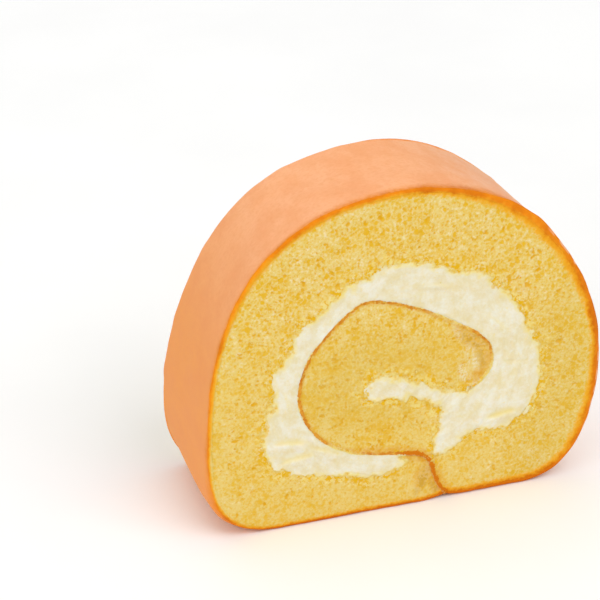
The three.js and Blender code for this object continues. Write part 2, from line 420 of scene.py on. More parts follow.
def staggered(outline, step, seed):
    """Points inside an outline in staggered rows, moved a little at random and clear of the edge."""
    rng = np.random.default_rng(seed)
    following = np.roll(outline, -1, 0)
    rows, height = [], step * math.sin(math.pi / 3)
    for number, z in enumerate(np.arange(outline[:, 1].min() + height / 2, outline[:, 1].max(), height)):
        hit = (outline[:, 1] > z) != (following[:, 1] > z)
        a, b = outline[hit], following[hit]
        cuts = np.sort(a[:, 0] + (z - a[:, 1]) / (b[:, 1] - a[:, 1]) * (b[:, 0] - a[:, 0]))
        stagger = 0.5 * (number % 2)
        for left, right in zip(cuts[::2], cuts[1::2]):
            x = np.arange((math.ceil(left / step - stagger) + stagger) * step, right, step)
            rows.append(np.stack([x, np.full(len(x), z)], 1))
    points = np.concatenate(rows)
    points += (rng.random(points.shape) - 0.5) * 0.25 * step
    distance, _ = nearest(points, outline)
    return points[distance > 0.7 * step]


def filled(outline, step, seed):
    """Points and triangles that fill an outline. The outline's own points come first."""
    points = np.concatenate([outline, staggered(outline, step, seed)])
    corners = [Vector(point) for point in points]
    result = delaunay_2d_cdt(corners, [], [list(range(len(outline)))], 1, 1e-7)
    if len(result[0]) != len(points):
        raise RuntimeError(f"an outline crosses itself: {len(result[0]) - len(points)} points too many")
    origin = [sources[0] for sources in result[3]]
    triangles = np.array([[origin[i] for i in face] for face in result[2]])
    a, b, c = (points[triangles[:, i]] for i in range(3))
    turned = np.cross(b - a, c - a) < 0
    triangles[turned] = triangles[turned][:, ::-1]
    return points, triangles


def patch_strength(points, patches):
    """How strongly soft oval patches cover points, from 0 to 1."""
    strength = np.zeros(len(points))
    for x, z, length, width, slant, amount in patches:
        turn = math.radians(slant)
        right, up = (points - (x, z)).T
        along = (right * math.cos(turn) + up * math.sin(turn)) / length
        across = (up * math.cos(turn) - right * math.sin(turn)) / width
        strength = np.maximum(strength, amount * (1 - smooth(np.hypot(along, across), 0.35, 1.15)))
    return strength


def fold(points, start, end, width, side):
    """A soft fold along a line: it swells on one side and drops steeply on the other. Its height and its
    hollow, as shares; the cream's finish paints shade in the hollow."""
    start, end = np.array(start), np.array(end)
    length = np.hypot(*(end - start))
    ahead = (end - start) / length
    along = (points - start) @ ahead / length
    bend = 0.036 * length * (4 * along * (1 - along)).clip(0, 1)
    across = (side * ((points - start) @ (-ahead[1], ahead[0])) - bend) / width
    swell = np.where(across < 0, smooth(across, -1.0, 0.0), 1 - smooth(across, 0.0, 0.32))
    dip = hump(across, -0.05, 0.25, 0.25, 0.95)
    ends = hump(along, -0.05, 0.3, 0.7, 1.05)
    return ends * (swell - 0.3 * dip), ends * dip


class Plan:
    """The section of the slice at its real size, and the way it changes through the depth."""

    def __init__(self, width, height, depth):
        self.height, self.depth = height, depth
        scale = np.array((width / 2, height))
        self.outer = cubic_line(OUTER_SKIN) * scale
        self.inner = cubic_line(INNER_SKIN) * scale
        seam = even(self.inner, MAP_PITCH)[: round(SEAM_LENGTH / MAP_PITCH) + 1]
        self.flap_end = moved(seam, -LAYER_GAP)[::-1]
        self.crumb_side = spline_line([*CRUMB_SIDE, tuple(self.flap_end[0] / scale)]) * scale
        self.outer_fine = even(self.outer, MAP_PITCH)
        self.outer_way = way_along(self.outer_fine)
        self.shift = 0.0
        reach = self.place(self.outer, 1.0)[:, 0].min(), self.outer[:, 0].min()
        self.shift = SPONGE_BOX[0].x / MM - min(reach)

    def place(self, points, share, outward=0.0):
        """Where points of the section lie at a share of the depth, from 0 at the front cut to 1 at the
        rear, and so far outward from the nearer cut."""
        x, z = points[:, 0], points[:, 1]
        share = np.broadcast_to(share, x.shape)
        drift = share * WANDER * smooth(z, 0, BASE_ZONE)
        turn = 2 * math.pi / WANDER_LENGTH

        def wave(phase):
            return np.sin(turn * x + phase) * np.cos(turn * z + 2 * phase)

        across = x * (1 + share * (REAR_WIDTH_SHARE - 1)) + share * REAR_LEAN * (z - self.height / 2)
        up = z * (1 + share * (REAR_HEIGHT_SHARE - 1)) + drift * wave(UPRIGHT_PHASE)
        along = (share - 0.5) * self.depth + outward * np.where(share < 0.5, -1.0, 1.0)
        return np.stack([across + drift * wave(SIDEWAYS_PHASE) + self.shift, along, up], 1)

    def bake(self, points):
        """For each point: how far the outer skin is, that as a share of how deep the baked colour goes
        there, and how dark it is."""
        distance, index = nearest(points, self.outer_fine)
        way = self.outer_way[index]
        deep, dark = (np.interp(way, BAKE_PLACES, table) for table in (BAKE_INTO_CRUMB, BAKE_DARKNESS))
        return distance, distance / deep, dark

    def channel(self, step):
        """The closed line round the cream, counterclockwise, and whether each point lies on the skin."""
        skin = even(self.inner, step)[round((SEAM_LENGTH + CREAM_END_SETBACK) / step) :]
        crumb = even(self.crumb_side, step)[: -round(CREAM_END_SETBACK / step)]
        line = np.concatenate([skin[:-1], crumb])
        return line, np.arange(len(line)) < len(skin) - 1


class Cut:
    """The unevenness of one cut face. Side 0 is the front, side 1 the rear."""

    def __init__(self, plan, side):
        self.plan, self.folds = plan, () if side else CREAM_FOLDS
        seed = CUT_SEEDS[side]
        self.relief = layered(seed + 1, RELIEF)
        self.grain = layered(seed + 3, GRAIN)
        self.pores = self.pore_map(seed + 10)
        self.streaks = hills(seed + 20, 3.0, across=3.2)
        self.scratches = hills(seed + 21, 1.0, across=4.0)
        self.rag = layered(seed + 22, RAG)

    def pore_map(self, seed):
        """The air holes in the cut, as depths. They are few and fine by the skin and at the base, and many
        along the cream."""
        rng = np.random.default_rng(seed)
        wobble = layered(seed + 1, HOLE_WOBBLE)
        clumps = hills(seed + 2, 5.5)
        dents = np.zeros(MAP_SHAPE)
        span = np.array(MAP_SHAPE[::-1]) * MAP_PITCH
        for per_area, small, large, depth, stretch in PORE_KINDS:
            count = round(per_area * span[0] * span[1])
            spots = rng.random((count, 2)) * span + MAP_LOW
            radii = small + (large - small) * rng.random(count) ** 2
            stretches = 1 + (stretch - 1) * rng.random(count)
            luck = rng.random(count)
            distance, index = nearest(spots, self.plan.outer_fine)
            away = (spots - self.plan.outer_fine[index]) / distance[:, None]
            by_cream = np.exp(-nearest(spots, self.plan.crumb_side)[0] / 1.6)
            chance = np.clip(0.6 + 0.35 * read_map(clumps, spots) + 0.5 * by_cream, 0.1, 1)
            chance *= smooth(distance, 0.9, 5.0) * (0.4 + 0.6 * smooth(spots[:, 1], 5, 20))
            depths = depth * (0.6 + 0.4 * chance)
            for i in np.flatnonzero(luck < chance):
                press(dents, wobble, spots[i], radii[i], stretches[i], away[i], depths[i])
        return dents

    def crumb_height(self, points, distance):
        """How far the crumb stands out of the cut at points, and how deep its holes are there."""
        edge = smooth(distance, 0.3, 1.3)
        pores = read_map(self.pores, points) * edge
        grain = GRAIN_HEIGHT * edge * read_map(self.grain, points)
        return read_map(self.relief, points) + grain - PORE_DEPTH_SHARE * pores, pores

    def cream_height(self, points):
        """How far the cream stands out of the cut at points, with knife marks that run along the roll, and
        how hollow it is there, where the finish paints shade."""
        right, up = (points - (0.0, 0.45 * self.plan.height)).T
        way = np.arctan2(up, right) / (2 * math.pi) * MAP_SHAPE[1] * MAP_PITCH
        roll = np.stack([way, np.hypot(right, up)], 1)
        marks = STREAK_HEIGHT * read_map(self.streaks, roll) + SCRATCH_HEIGHT * read_map(self.scratches, roll)
        shade = np.zeros(len(points))
        for start, end, height, width, side in self.folds:
            mark, hollow = fold(points, start, end, width, side)
            marks += height * mark
            shade += min(1.0, 2.4 * height) * hollow
        return read_map(self.relief, points) + marks, shade


plan_for = functools.cache(Plan)
cut_for = functools.cache(Cut)


def press(dents, wobble, spot, radius, stretch, away, depth):
    """Presses one air hole into a map of dents."""
    col, row = (spot - MAP_LOW) / MAP_PITCH
    half = int(1.5 * radius * stretch / MAP_PITCH) + 2
    rows = np.arange(max(int(row) - half, 0), min(int(row) + half, MAP_SHAPE[0] - 1))
    cols = np.arange(max(int(col) - half, 0), min(int(col) + half, MAP_SHAPE[1] - 1))
    if not len(rows) or not len(cols):
        return
    window = slice(rows[0], rows[-1] + 1), slice(cols[0], cols[-1] + 1)
    up, side = (rows - row)[:, None] * MAP_PITCH, (cols - col)[None, :] * MAP_PITCH
    along, across = side * away[0] + up * away[1], up * away[0] - side * away[1]
    share = np.hypot(along / stretch, across) / radius + wobble[window]
    np.maximum(dents[window], depth * smooth(1 - share, 0.0, 0.75), out=dents[window])


# ---- Meshes ----


class Mesh:
    """Gathers points, faces and the values that the finishes read, then makes the piece."""

    def __init__(self):
        self.points, self.values, self.faces, self.spots, self.count = [], {}, [], [], 0

    def add_points(self, points, **values):
        """Adds points in millimetres, and returns their numbers."""
        numbers = np.arange(self.count, self.count + len(points))
        for name, value in values.items():
            self.values.setdefault(name, []).append((self.count, np.broadcast_to(value, len(points))))
        self.points.append(points)
        self.count += len(points)
        return numbers

    def add_faces(self, corners, spots):
        """Adds faces by their corners' numbers, with the place of each corner on the flat map."""
        self.faces.append(corners)
        self.spots.append(spots)

    def add_grid(self, numbers, low, high):
        """Adds the faces between rows of points, laid out on the flat map between two corners."""
        rows, cols = numbers.shape
        ups, rights = np.meshgrid(np.linspace(low[1], high[1], cols), np.linspace(low[0], high[0], rows))
        spots = np.stack([rights, ups], 2)
        first, rest = slice(None, -1), slice(1, None)
        around = (first, first), (rest, first), (rest, rest), (first, rest)
        corners = np.stack([numbers[at] for at in around], 2).reshape(-1, 4)
        self.add_faces(corners, np.stack([spots[at] for at in around], 2).reshape(-1, 4, 2))

    def finish(self, name, material, slot, node):
        """Makes the piece, which stands for a CAD node."""
        mesh = bpy.data.meshes.new(name)
        points = np.concatenate(self.points) * MM
        mesh.from_pydata(points.tolist(), [], [face for group in self.faces for face in group.tolist()])
        mesh.update()
        if mesh.validate(verbose=False):
            raise RuntimeError(f"{name} has bad faces")
        for key, parts in self.values.items():
            value = np.zeros(self.count, np.float32)
            for first, part in parts:
                value[first : first + len(part)] = part
            mesh.attributes.new(key, "FLOAT", "POINT").data.foreach_set("value", value)
        spots = np.concatenate([group.reshape(-1, 2) for group in self.spots])
        layer = mesh.uv_layers.new(name="OFBake")
        layer.uv.foreach_set("vector", spots.astype(np.float32).ravel())
        mesh.shade_smooth()
        mesh.materials.append(material)
        piece = bpy.data.objects.new(name, mesh)
        bpy.context.scene.collection.objects.link(piece)
        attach(piece, "root")
        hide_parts(node)


def make_layer(plan, outline, steps, heights, wall, shares):
    """A closed layer of the slice. steps are the distances of the points on the front and rear cuts,
    heights gives their outward height and their values, and wall is the outline between the cuts, at some
    shares of the depth."""
    mesh, rings = Mesh(), []
    for side, step in enumerate(steps):
        points, triangles = filled(outline, step, FILL_SEED + side)
        outward, values = heights(points, side)
        numbers = mesh.add_points(plan.place(points, side, outward), **values)
        low, scale = FLAT_CUTS[side]
        spots = np.array(low) + (points - SECTION_LOW) * scale
        corners = triangles[:, ::-1] if side else triangles
        mesh.add_faces(numbers[corners], spots[corners])
        rings.append(numbers[: len(outline)])
    walls = [mesh.add_points(plan.place(wall, share)) for share in shares]
    rows = np.stack([rings[0], *walls, rings[1]], 1)
    mesh.add_grid(np.concatenate([rows, rows[:1]]), *FLAT_WALL)
    return mesh


def make_sweep(plan, line, rows, names, along, high):
    """A closed strip along a line. Each row round it gives the distance to the right of the line, the share
    of the depth, the outward height and the values called names. along has values that all rows share."""
    columns = [np.stack([np.broadcast_to(part, len(line)) for part in parts], 1) for parts in zip(*rows)]
    offsets, shares, outward = columns[:3]
    values = dict(zip(names, columns[3:]))
    values.update({name: np.repeat(value[:, None], len(rows), 1) for name, value in along.items()})
    points = line[:, None, :] + right_of(line)[:, None, :] * offsets[:, :, None]
    points = plan.place(points.reshape(-1, 2), shares.ravel(), outward.ravel())
    points[:, 2] = np.maximum(points[:, 2], 0.0)
    mesh = Mesh()
    numbers = mesh.add_points(points, **{name: value.ravel() for name, value in values.items()})
    numbers = numbers.reshape(len(line), len(rows))
    mesh.add_grid(np.concatenate([numbers, numbers[:, :1]], 1), FLAT_LOW, high)
    for cap in (numbers[0], numbers[-1, ::-1]):
        mesh.add_faces(cap[None, :], np.tile(FLAT_LOW, (1, len(rows), 1)))
    return mesh


# ---- Finishes ----

# Patches of noise: the size, the detail and roughness, the two levels between which it is eased, the
# strengths that it has there, and the stretch along x, y and z
PATCHES = {
    "stained": (1.3, 3.0, 0.6, 0.36, 0.62, 0.45, 1.0),
    "dulled": (0.55, 4.0, 0.7, 0.4, 0.58, 0.1, 1.0),
    "flecked": (1.0, 3.0, 0.6, 0.49, 0.57, 0.0, 0.9),
    "smeared": (1.4, 5.0, 0.7, 0.4, 0.52, 0.0, 1.0, (1, 1, 1.8)),
    "smear_gaps": (0.5, 2.0, 0.5, 0.4, 0.58, 0.1, 1.0),
    "creamy": (2.0, 4.0, 0.6, 0.42, 0.58, 0.0, 0.7),
    "torn": (0.9, 4.0, 0.62, 0.49, 0.57, 0.0, 1.0),
    "mottled_skin": (6.0, 5.0, 0.65, 0.36, 0.68, 0.0, 0.45, (1, 1.6, 1)),
    "speckled_skin": (0.75, 3.0, 0.6, 0.4, 0.74, 0.0, 0.38),
    "rolled_skin": (1.5, 4.0, 0.6, 0.36, 0.66, 0.0, 1.0),
    "shaded_cream": (3.0, 5.0, 0.72, 0.30, 0.70, 0.0, 1.0),
    "speckled_cream": (0.7, 2.0, 0.6, 0.64, 0.74, 0.0, 0.5),
    "spread_cream": (4.5, 3.0, 0.6, 0.38, 0.62, 0.3, 1.0),
    "loose_crumb": (0.5, 2.0, 0.5, 0.4, 0.6, 0.0, 1.0),
    "floor": (60.0, 3.0, 0.5, 0.3, 0.7, 0.0, 1.0),
}
# Surfaces: roughness, specular level, strength and depth of the bumps, how much light goes below, how far
# that goes for red, green and blue, and its scale
SURFACES = {
    "sponge_crumb": (0.86, 0.06, 0.32, 0.15, 0.12, (1.0, 0.6, 0.2), 0.8),
    "baked_skin": (0.62, 0.08, 0.25, 0.1, 0.1, (1.0, 0.45, 0.2), 0.6),
    "rolled_in_skin": (0.6, 0.1, 0.3, 0.12, 0.1, (1.0, 0.45, 0.2), 0.6),
    "whipped_cream": (0.45, 0.25, 0.28, 0.14, 0.3, (1.0, 0.8, 0.5), 1.2),
    "loose_crumb": (0.85, 0.5, 0.4, 0.05, 0.3, (1.0, 0.7, 0.3), 0.8),
    "pale_floor": (0.7, 0.2, 0.0, 0.0, 0.0, (1.0, 1.0, 1.0), 1.0),
}
# How coarse the crumb is that shows through the outer skin, and through the rolled-in skin and the cream
CRUMB_BY_SKIN = 0.7
CRUMB_BY_CREAM = 0.8
# Heights in metres between which the skin turns from its side colour, partly painted shade, to its top
# colour, and how far to the right a painted shade turns it paler
SKIN_TOP_ZONE = (0.033, 0.068)
SKIN_RIGHT_SHADE_ZONE = (0.0, 0.032)


def paint(code):
    """A colour code as the linear colour that Blender wants."""
    parts = [int(code[i : i + 2], 16) / 255 for i in (1, 3, 5)]
    return tuple(p / 12.92 if p <= 0.04045 else ((p + 0.055) / 1.055) ** 2.4 for p in parts) + (1.0,)


class Finish:
    """A material made of nodes."""

    def __init__(self, name):
        self.name = name
        self.material = bpy.data.materials.new(name)
        self.material.use_nodes = True
        self.tree = self.material.node_tree
        self.tree.nodes.clear()
        self.places = self.node("TexCoord").outputs["Object"]

    def node(self, kind, inputs=None, **options):
        """A node with its options, and with a value or a link at some of its inputs."""
        made = self.tree.nodes.new("ShaderNode" + kind)
        for key, value in options.items():
            setattr(made, key, value)
        for key, value in (inputs or {}).items():
            if isinstance(value, bpy.types.NodeSocket):
                self.tree.links.new(value, made.inputs[key])
            else:
                made.inputs[key].default_value = value
        return made

    def value(self, name):
        """A value that the mesh holds."""
        return self.node("Attribute", attribute_name=name).outputs["Fac"]

    def math(self, operation, *values, clamp=False):
        """The result of a sum, product or the like."""
        return self.node("Math", dict(enumerate(values)), operation=operation, use_clamp=clamp).outputs[0]

    def times(self, *values):
        """The product of values."""
        return functools.reduce(functools.partial(self.math, "MULTIPLY"), values)

    def scaled(self, value, factor, start):
        """value times factor, plus start."""
        return self.math("MULTIPLY_ADD", value, factor, start)

    def between(self, value, low, high, bottom=0.0, top=1.0):
        """The way of value from low to high, eased."""
        inputs = {"Value": value, "From Min": low, "From Max": high, "To Min": bottom, "To Max": top}
        return self.node("MapRange", inputs, interpolation_type="SMOOTHSTEP").outputs[0]

    def noise(self, size, detail=2.0, rough=0.5, stretch=(1, 1, 1)):
        """Soft noise with features of a size in millimetres."""
        scale = tuple(1 / (size * MM * s) for s in stretch)
        place = self.node("Mapping", {"Vector": self.places, "Scale": scale}).outputs[0]
        inputs = {"Vector": place, "Scale": 1.0, "Detail": detail, "Roughness": rough}
        return self.node("TexNoise", inputs).outputs[0]

    def patches(self, name):
        """Soft patches, 0 outside them and 1 inside, or as strong as the table says."""
        size, detail, rough, low, high, bottom, top, *stretch = PATCHES[name]
        return self.between(self.noise(size, detail, rough, *stretch), low, high, bottom, top)

    def pits(self, apart, widest):
        """Round holes of random width, so many millimetres apart: 1 in a hole and 0 between."""
        apart *= MM
        shake = self.node("TexNoise", {"Vector": self.places, "Scale": 1.6 / apart, "Detail": 1.0}).outputs[1]
        shake = self.node("VectorMath", {0: shake, 1: (0.5, 0.5, 0.5)}, operation="SUBTRACT").outputs[0]
        shake = self.node("VectorMath", {0: shake, "Scale": 0.5 * apart}, operation="SCALE").outputs[0]
        place = self.node("VectorMath", {0: self.places, 1: shake}, operation="ADD").outputs[0]
        cells = self.node("TexVoronoi", {"Vector": place, "Scale": 1 / apart})
        luck = self.node("SeparateColor", {"Color": cells.outputs["Color"]}).outputs[0]
        depth = self.math("SUBTRACT", self.times(luck, widest), cells.outputs["Distance"])
        return self.between(depth, -0.06, 0.16)

    def mix(self, amount, first, second):
        """The first colour where amount is 0, and the second where it is 1."""
        inputs = {0: amount, 6: first, 7: second}
        return self.node("Mix", inputs, data_type="RGBA", clamp_factor=True).outputs[2]

    def over(self, base, colour, *amounts):
        """Lays a colour over base, as strongly as the product of amounts."""
        return self.mix(self.times(*amounts), base, colour)

    def ramp(self, value, stops):
        """The colour at a value between stops."""
        made = self.node("ValToRGB", {"Fac": value})
        made.color_ramp.interpolation = "EASE"
        elements = made.color_ramp.elements
        while len(elements) < len(stops):
            elements.new(0.5)
        for element, (place, colour) in zip(elements, stops):
            element.position, element.color = place, colour
        return made.outputs[0]

    def surface(self, colour, height=None):
        """Ends the finish with its shader."""
        rough, specular, strength, depth, below, spread, scale = SURFACES[self.name]
        inputs = {
            "Base Color": colour,
            "Roughness": rough,
            "Specular IOR Level": specular,
            "Subsurface Weight": below,
            "Subsurface Radius": spread,
            "Subsurface Scale": scale * MM,
        }
        if height is not None:
            bump = {"Height": height, "Strength": strength, "Distance": depth * MM}
            inputs["Normal"] = self.node("Bump", bump).outputs[0]
        shader = self.node("BsdfPrincipled", inputs)
        self.node("OutputMaterial", {"Surface": shader.outputs[0]}).is_active_output = True
        return self.material


def baked_edge(finish, colours, base, crust):
    """Lays the baked colour over base where crust is near 0: from -1 on the skin to 1 in the crumb."""
    place = finish.math("SUBTRACT", finish.noise(0.9, 4.0, 0.62), 0.5)
    place = finish.scaled(place, 0.75, crust)
    patchy = finish.scaled(finish.noise(5.0, 3.0, 0.6), 2.4, -1.2)
    darkness = finish.math("ADD", finish.value("baked"), patchy, clamp=True)
    bright = finish.mix(finish.between(place, -0.8, 0.0), colours.crust_outer, colours.crust_bright)
    deep = finish.mix(darkness, bright, colours.crust_dark)
    inputs = {"Value": place, "From Min": finish.times(darkness, 0.4), "From Max": 1.05}
    inward = finish.node("MapRange", inputs).outputs[0]
    colour = finish.mix(finish.between(inward, -0.1, 0.6), deep, colours.crust_light)
    from_skin, to_crumb = finish.between(place, -1.0, 0.05), finish.between(inward, 0.4, 1.0, 1.0, 0.0)
    return finish.over(base, colour, from_skin, to_crumb)


def crumb_colour(finish, colours, coarse, lift=0.0, pore=0.0, moist=0.0):
    """The colour of the open crumb, and how high it stands between its walls and holes. Its pale walls
    and golden holes are painted light and shade, with painted shade deep in the air holes.
    """
    clusters, fine = finish.noise(3.4, 3.0, 0.6), finish.noise(0.55, 2.0, 0.62)
    shade = finish.times(finish.scaled(fine, 1.6, finish.scaled(lift, 0.08, -0.8)), coarse)
    shade = finish.scaled(coarse, 0.16, finish.scaled(clusters, 0.6, shade))
    shade = finish.math("ADD", shade, finish.scaled(moist, -0.4, 0.12))
    # Painted light and shade: golden where the light sinks in, pale on the walls that stand out, on the same
    # noise as the bumps
    walls = ((0.0, colours.crumb_gold), (0.36, colours.crumb_warm))
    base = finish.ramp(shade, (*walls, (0.62, colours.crumb), (1.0, colours.crumb_pale)))
    # Painted shade: golden round holes, which also sink the bumps
    widest = finish.between(clusters, 0.66, 0.34, 0.36, 0.68)
    holes = finish.math("MAXIMUM", finish.pits(1.15, widest), finish.times(finish.pits(0.56, widest), 0.75))
    base = finish.over(base, colours.crumb_gold, holes, coarse, 0.85)
    # Painted shade: darker gold deep in the pressed air holes
    base = finish.mix(finish.between(pore, 0.01, 0.16, 0.0, 0.85), base, colours.pore)
    base = finish.over(base, colours.crumb_moist, moist, 1.3)
    return base, finish.scaled(holes, -0.8, fine)


def crumb_finish(colours):
    """Open crumb with its stains, smears of cream and baked edge."""
    finish = Finish("sponge_crumb")
    values = (finish.value(name) for name in ("coarse", "lift", "pore", "moist"))
    base, height = crumb_colour(finish, colours, *values)
    base = finish.over(base, colours.stain, finish.value("stain"), finish.patches("stained"))
    dull = finish.value("dull")
    base = finish.over(base, colours.stain_dull, dull, finish.patches("dulled"))
    base = finish.over(base, colours.fleck, dull, finish.patches("flecked"))
    smear = finish.times(finish.patches("smeared"), finish.patches("smear_gaps"))
    base = finish.over(base, colours.smear, finish.value("smear"), smear)
    near = finish.value("near_cream")
    base = finish.over(base, colours.cream_thin, near, finish.patches("creamy"))
    base = finish.over(base, colours.crumb_gold, near, finish.patches("torn"))
    return finish.surface(baked_edge(finish, colours, base, finish.value("crust")), height)


def skin_finish(colours):
    """Baked skin, warmer on the crown, with its darker edges. It is deeper orange low on the sides,
    partly from baking and partly painted shade, and paler to the right, which is painted shade.
    """
    finish = Finish("baked_skin")
    place = finish.node("SeparateXYZ", {"Vector": finish.places}).outputs
    # Partly painted shade: low on the sides the skin is darker and deeper orange, partly from baking
    base = finish.mix(finish.between(place["Z"], *SKIN_TOP_ZONE), colours.skin_side_bake_and_shade, colours.skin_top)
    # Painted shade: the skin turns paler and cooler to the right
    base = finish.mix(finish.between(place["X"], *SKIN_RIGHT_SHADE_ZONE, 0.0, 0.8), base, colours.skin_right_shade)
    base = finish.mix(finish.patches("mottled_skin"), base, colours.skin_warm)
    base = finish.mix(finish.patches("speckled_skin"), base, colours.skin_warm)
    crust = finish.value("crust")
    crumb, _ = crumb_colour(finish, colours, CRUMB_BY_SKIN, finish.value("lift"))
    base = finish.mix(finish.between(crust, 0.0, 0.25), base, crumb)
    grain = finish.scaled(finish.noise(2.4, 3.0), 0.8, finish.noise(0.5, 3.0, 0.6))
    return finish.surface(baked_edge(finish, colours, base, crust), grain)


def rolled_skin_finish(colours):
    """Moist skin inside the roll, stained at one edge, and hidden by crumb and cream in places."""
    finish = Finish("rolled_in_skin")
    seam = finish.value("seam")
    base = finish.mix(finish.patches("rolled_skin"), colours.rolled_dark, colours.rolled_light)
    base = finish.over(base, colours.seam, seam, 0.95)
    rough = finish.scaled(finish.noise(0.7, 4.0, 0.65), 1.1, -0.55)
    across = finish.math("ADD", finish.value("across"), rough)
    base = finish.over(base, colours.stain_dull, seam, finish.between(across, 0.0, 0.3, 0.8, 0.0))
    base = finish.mix(finish.between(across, 0.62, 1.05), base, colours.stain)
    crumb, _ = crumb_colour(finish, colours, CRUMB_BY_CREAM)
    crumb = finish.mix(finish.between(across, -0.1, 0.7, 0.9, 0.0), crumb, colours.cream_thin)
    shows = finish.scaled(finish.noise(1.2, 3.0, 0.6), 0.9, finish.value("shows"))
    base = finish.mix(finish.between(shows, 0.55, 1.05, 1.0, 0.0), base, crumb)
    by_cream = finish.between(across, 0.08, 0.26, 1.0, 0.0)
    base = finish.over(base, colours.cream_thin, by_cream, finish.math("SUBTRACT", 1.0, seam))
    return finish.surface(base, finish.noise(0.5, 3.0, 0.6))


def cream_finish(colours):
    """Whipped cream, thin and ragged where it ends on the crumb, with painted shade in its fold hollows."""
    finish = Finish("whipped_cream")
    base = finish.mix(finish.patches("shaded_cream"), colours.cream, colours.cream_shade)
    # Painted shade: the hollows of the knife folds take the yellow of thin cream
    base = finish.over(base, colours.cream_thin, finish.value("fold"), 0.7)
    base = finish.mix(finish.patches("speckled_cream"), base, colours.cream_thin)
    rough = finish.scaled(finish.noise(1.8, 5.0, 0.68), 3.2, -1.6)
    cover = finish.math("ADD", finish.value("cover"), rough)
    thin = finish.between(cover, -0.1, 1.4, 0.95, 0.0)
    base = finish.over(base, colours.cream_thin, thin, finish.patches("spread_cream"))
    crumb, _ = crumb_colour(finish, colours, CRUMB_BY_CREAM)
    base = finish.mix(finish.between(cover, -0.35, 0.35, 1.0, 0.0), base, crumb)
    return finish.surface(base, finish.scaled(finish.noise(1.8, 2.0), 0.8, finish.noise(0.6, 3.0, 0.55)))


def loose_crumb_finish(colours):
    """Small crumbs with a little cream on them."""
    finish = Finish("loose_crumb")
    base = finish.mix(finish.patches("loose_crumb"), colours.crumb, colours.cream_thin)
    return finish.surface(base, finish.noise(0.25, 2.0))


# ---- What a user may change ----


def length(name, description, size):
    """A length that is given in millimetres."""
    return FloatProperty(
        name=name, description=description, default=size * MM, min=0.0, unit="LENGTH", precision=5
    )


def colour(name, description, code):
    """A colour that is given as a code."""
    return FloatVectorProperty(
        name=name, description=description, default=paint(code), size=4, min=0.0, max=1.0, subtype="COLOR"
    )


class CreamRollSizes(bpy.types.PropertyGroup):
    """Sizes of the slice and of its surface detail"""

    width: length("Width", "Across the front cut", 84)
    height: length("Height", "From the base to the crown", 70.6)
    depth: length("Depth", "Between the two cuts", 31)
    skin_thickness: length("Skin thickness", "How thick the baked skin is", 0.95)
    edge_round: length("Edge rounding", "How round the skin's edge is at a cut", 0.5)
    front_step: length("Front fineness", "Distance of the points on the front cut", 0.27)
    rear_step: length("Rear fineness", "Distance of the points on the rear cut", 0.42)
    edge_step: length("Edge fineness", "Distance of the points round a cut", 0.36)
    cream_step: length("Cream fineness", "Distance of the points on the cream", 0.24)
    cream_overlap: length("Cream overlap", "How far the cream is dragged over the crumb", 2.0)
    crumb_count: IntProperty(
        name="Loose crumbs", description="Crumbs that cling to the cuts", default=34, min=0
    )


class CreamRollColours(bpy.types.PropertyGroup):
    """Colours of the slice"""

    crumb: colour("Crumb", "Open crumb", "#E8CC78")
    # Painted light: pale on the walls that stand out
    crumb_pale: colour("Crumb pale", "Walls that stand out", "#EDD9A4")
    crumb_warm: colour("Crumb warm", "Between the walls", "#E7C056")
    crumb_gold: colour("Crumb gold", "Where the light sinks in", "#E5B21C")
    crumb_moist: colour("Crumb moist", "Damp crumb round the core", "#D6BA62")
    # Painted shade: darker gold deep in the air holes
    pore: colour("Air holes", "Deep in the holes", "#E4AA10")
    crust_bright: colour("Crust", "Baked edge of the crumb", "#F28C10")
    crust_outer: colour("Crust on the skin", "Baked edge of the skin", "#F99B44")
    crust_dark: colour("Crust dark", "Darkest bits of the baked edge", "#D26C04")
    crust_light: colour("Crust light", "Where the crust meets the crumb", "#EFAC28")
    skin_top: colour("Skin on top", "Baked skin on the crown", "#FDB684")
    # Partly painted shade: deeper baking and shade low on the sides
    skin_side_bake_and_shade: colour("Skin at the sides", "Baked skin low down", "#F5A25A")
    # Painted shade: the paler, cooler skin to the right
    skin_right_shade: colour("Skin pale", "Less baked skin towards the seam", "#F0BC9A")
    skin_warm: colour("Skin patches", "Darker patches of the skin", "#F09A5E")
    rolled_dark: colour("Rolled-in skin", "Moist skin inside the roll", "#CE7E1E")
    rolled_light: colour("Rolled-in skin light", "Paler bits of it", "#E29E36")
    seam: colour("Seam", "Skin that is pressed together at the seam", "#D27400")
    stain: colour("Stain", "Crumb stained by the skin", "#DE9C2A")
    stain_dull: colour("Dull stain", "Crumb smeared with skin and cream", "#DBB873")
    smear: colour("Smear", "Cream that was dragged over the crumb", "#EADAB0")
    fleck: colour("Flecks", "Golden brown crumb that shows through stains", "#CC9A26")
    cream: colour("Cream", "Whipped cream", "#EFEBDB")
    cream_shade: colour("Cream shade", "Softly shaded cream", "#E6D7A7")
    cream_thin: colour("Thin cream", "Cream that the crumb shows through", "#F0DC88")


def settings(context):
    """The sizes of the slice in millimetres, its colours, and its plan."""
    group = context.scene.cream_roll_sizes
    lengths = [key for key in CreamRollSizes.__annotations__ if key != "crumb_count"]
    sizes = SimpleNamespace(**{key: getattr(group, key) / MM for key in lengths})
    plan = plan_for(*(round(size, 4) for size in (sizes.width, sizes.height, sizes.depth)))
    return sizes, context.scene.cream_roll_colours, plan


# ---- One operator for each piece ----


